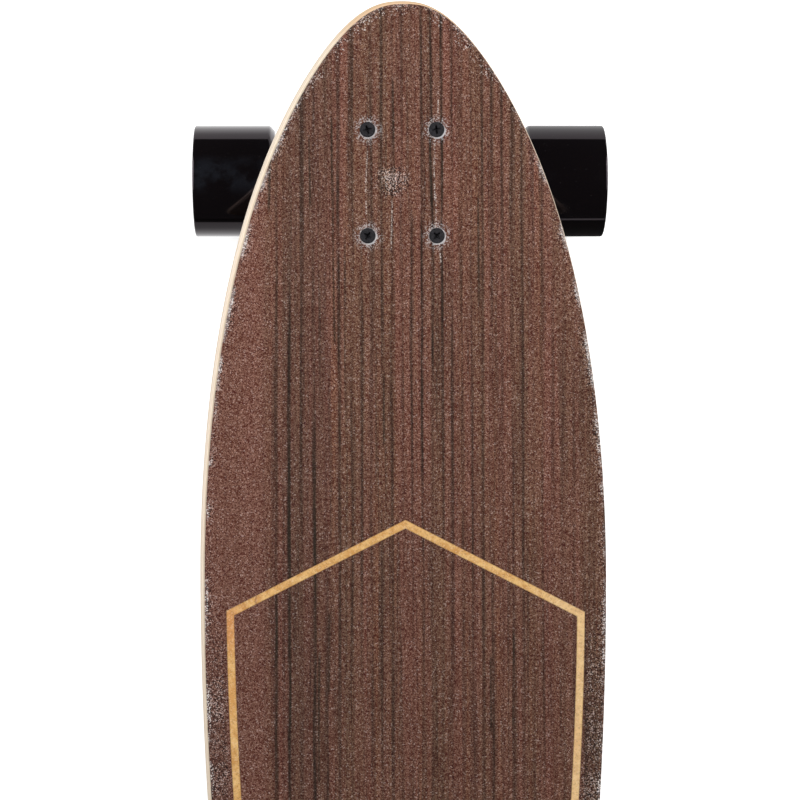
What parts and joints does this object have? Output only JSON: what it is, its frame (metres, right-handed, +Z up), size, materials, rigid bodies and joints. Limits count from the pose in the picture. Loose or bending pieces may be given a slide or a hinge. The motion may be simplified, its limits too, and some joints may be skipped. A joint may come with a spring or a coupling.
{
  "type": "longboard skateboard",
  "caption": "Pintail longboard: maple deck with dark veneer top and pale inlay line, two sprung reverse-kingpin trucks that steer by leaning, and free-rolling urethane wheels.",
  "frame": {"origin": "on the floor under the middle of the board's bounding box", "axes": "+Y towards the nose, +X to the rider's right, +Z up"},
  "size_m": [0.257, 0.94, 0.119],
  "materials": {
    "maple_ply": "clear lacquer on pale maple plies",
    "dark_veneer": "dark straight-grained veneer under clear grit",
    "inlay_maple": "amber maple under clear grit",
    "black_bolt": "black oxide",
    "zinc_plate": "bright zinc plate",
    "riser_rubber": "matt black rubber",
    "cast_black": "black powder coat on cast aluminium",
    "bushing_urethane": "satin urethane",
    "steel": "ground steel",
    "wheel_urethane": "gloss black cast urethane",
    "wheel_core": "moulded black nylon"
  },
  "bodies": {
    "board": {"deck": "maple_ply", "top_sheet": "dark_veneer", "inlay_stripe": "inlay_maple", "deck_bolt_front_left_nose": "black_bolt", "deck_nut_front_left_nose": "zinc_plate", "deck_bolt_front_right_nose": "black_bolt", "deck_nut_front_right_nose": "zinc_plate", "deck_bolt_front_left_tail": "black_bolt", "deck_nut_front_left_tail": "zinc_plate", "deck_bolt_front_right_tail": "black_bolt", "deck_nut_front_right_tail": "zinc_plate", "front_riser_pad": "riser_rubber", "front_baseplate": "cast_black", "front_pivot_cup": "bushing_urethane", "front_kingpin": "steel", "front_kingpin_nut": "zinc_plate", "front_boardside_bushing": "bushing_urethane", "front_roadside_bushing": "bushing_urethane", "front_cup_washer": "zinc_plate", "deck_bolt_rear_left_nose": "black_bolt", "deck_nut_rear_left_nose": "zinc_plate", "deck_bolt_rear_right_nose": "black_bolt", "deck_nut_rear_right_nose": "zinc_plate", "deck_bolt_rear_left_tail": "black_bolt", "deck_nut_rear_left_tail": "zinc_plate", "deck_bolt_rear_right_tail": "black_bolt", "deck_nut_rear_right_tail": "zinc_plate", "rear_riser_pad": "riser_rubber", "rear_baseplate": "cast_black", "rear_pivot_cup": "bushing_urethane", "rear_kingpin": "steel", "rear_kingpin_nut": "zinc_plate", "rear_boardside_bushing": "bushing_urethane", "rear_roadside_bushing": "bushing_urethane", "rear_cup_washer": "zinc_plate"},
    "front_truck": {"front_hanger": "cast_black", "front_axle": "steel", "front_left_axle_nut": "zinc_plate", "front_right_axle_nut": "zinc_plate"},
    "front_left_wheel": {"front_left_tyre": "wheel_urethane", "front_left_wheel_core": "wheel_core", "front_left_inner_bearing": "steel", "front_left_outer_bearing": "steel"},
    "front_right_wheel": {"front_right_tyre": "wheel_urethane", "front_right_wheel_core": "wheel_core", "front_right_inner_bearing": "steel", "front_right_outer_bearing": "steel"},
    "rear_truck": {"rear_hanger": "cast_black", "rear_axle": "steel", "rear_left_axle_nut": "zinc_plate", "rear_right_axle_nut": "zinc_plate"},
    "rear_left_wheel": {"rear_left_tyre": "wheel_urethane", "rear_left_wheel_core": "wheel_core", "rear_left_inner_bearing": "steel", "rear_left_outer_bearing": "steel"},
    "rear_right_wheel": {"rear_right_tyre": "wheel_urethane", "rear_right_wheel_core": "wheel_core", "rear_right_inner_bearing": "steel", "rear_right_outer_bearing": "steel"}
  },
  "joints": [
    {"name": "front_steer", "type": "hinge", "parent": "board", "child": "front_truck", "pos_m": [0, 0.34934, 0.03684], "axis": [0, 0.7071, 0.7071], "range_deg": [-20, 20], "stiffness_Nm_per_rad": 40, "deforming": ["front_boardside_bushing", "front_roadside_bushing"]},
    {"name": "rear_steer", "type": "hinge", "parent": "board", "child": "rear_truck", "pos_m": [0, -0.31884, 0.03684], "axis": [0, -0.7071, 0.7071], "range_deg": [-20, 20], "stiffness_Nm_per_rad": 40, "deforming": ["rear_boardside_bushing", "rear_roadside_bushing"]},
    {"name": "front_left_spin", "type": "hinge", "parent": "front_truck", "child": "front_left_wheel", "pos_m": [-0.103, 0.3705, 0.035], "axis": [1, 0, 0], "continuous": true},
    {"name": "front_right_spin", "type": "hinge", "parent": "front_truck", "child": "front_right_wheel", "pos_m": [0.103, 0.3705, 0.035], "axis": [1, 0, 0], "continuous": true},
    {"name": "rear_left_spin", "type": "hinge", "parent": "rear_truck", "child": "rear_left_wheel", "pos_m": [-0.103, -0.34, 0.035], "axis": [1, 0, 0], "continuous": true},
    {"name": "rear_right_spin", "type": "hinge", "parent": "rear_truck", "child": "rear_right_wheel", "pos_m": [0.103, -0.34, 0.035], "axis": [1, 0, 0], "continuous": true}
  ]
}
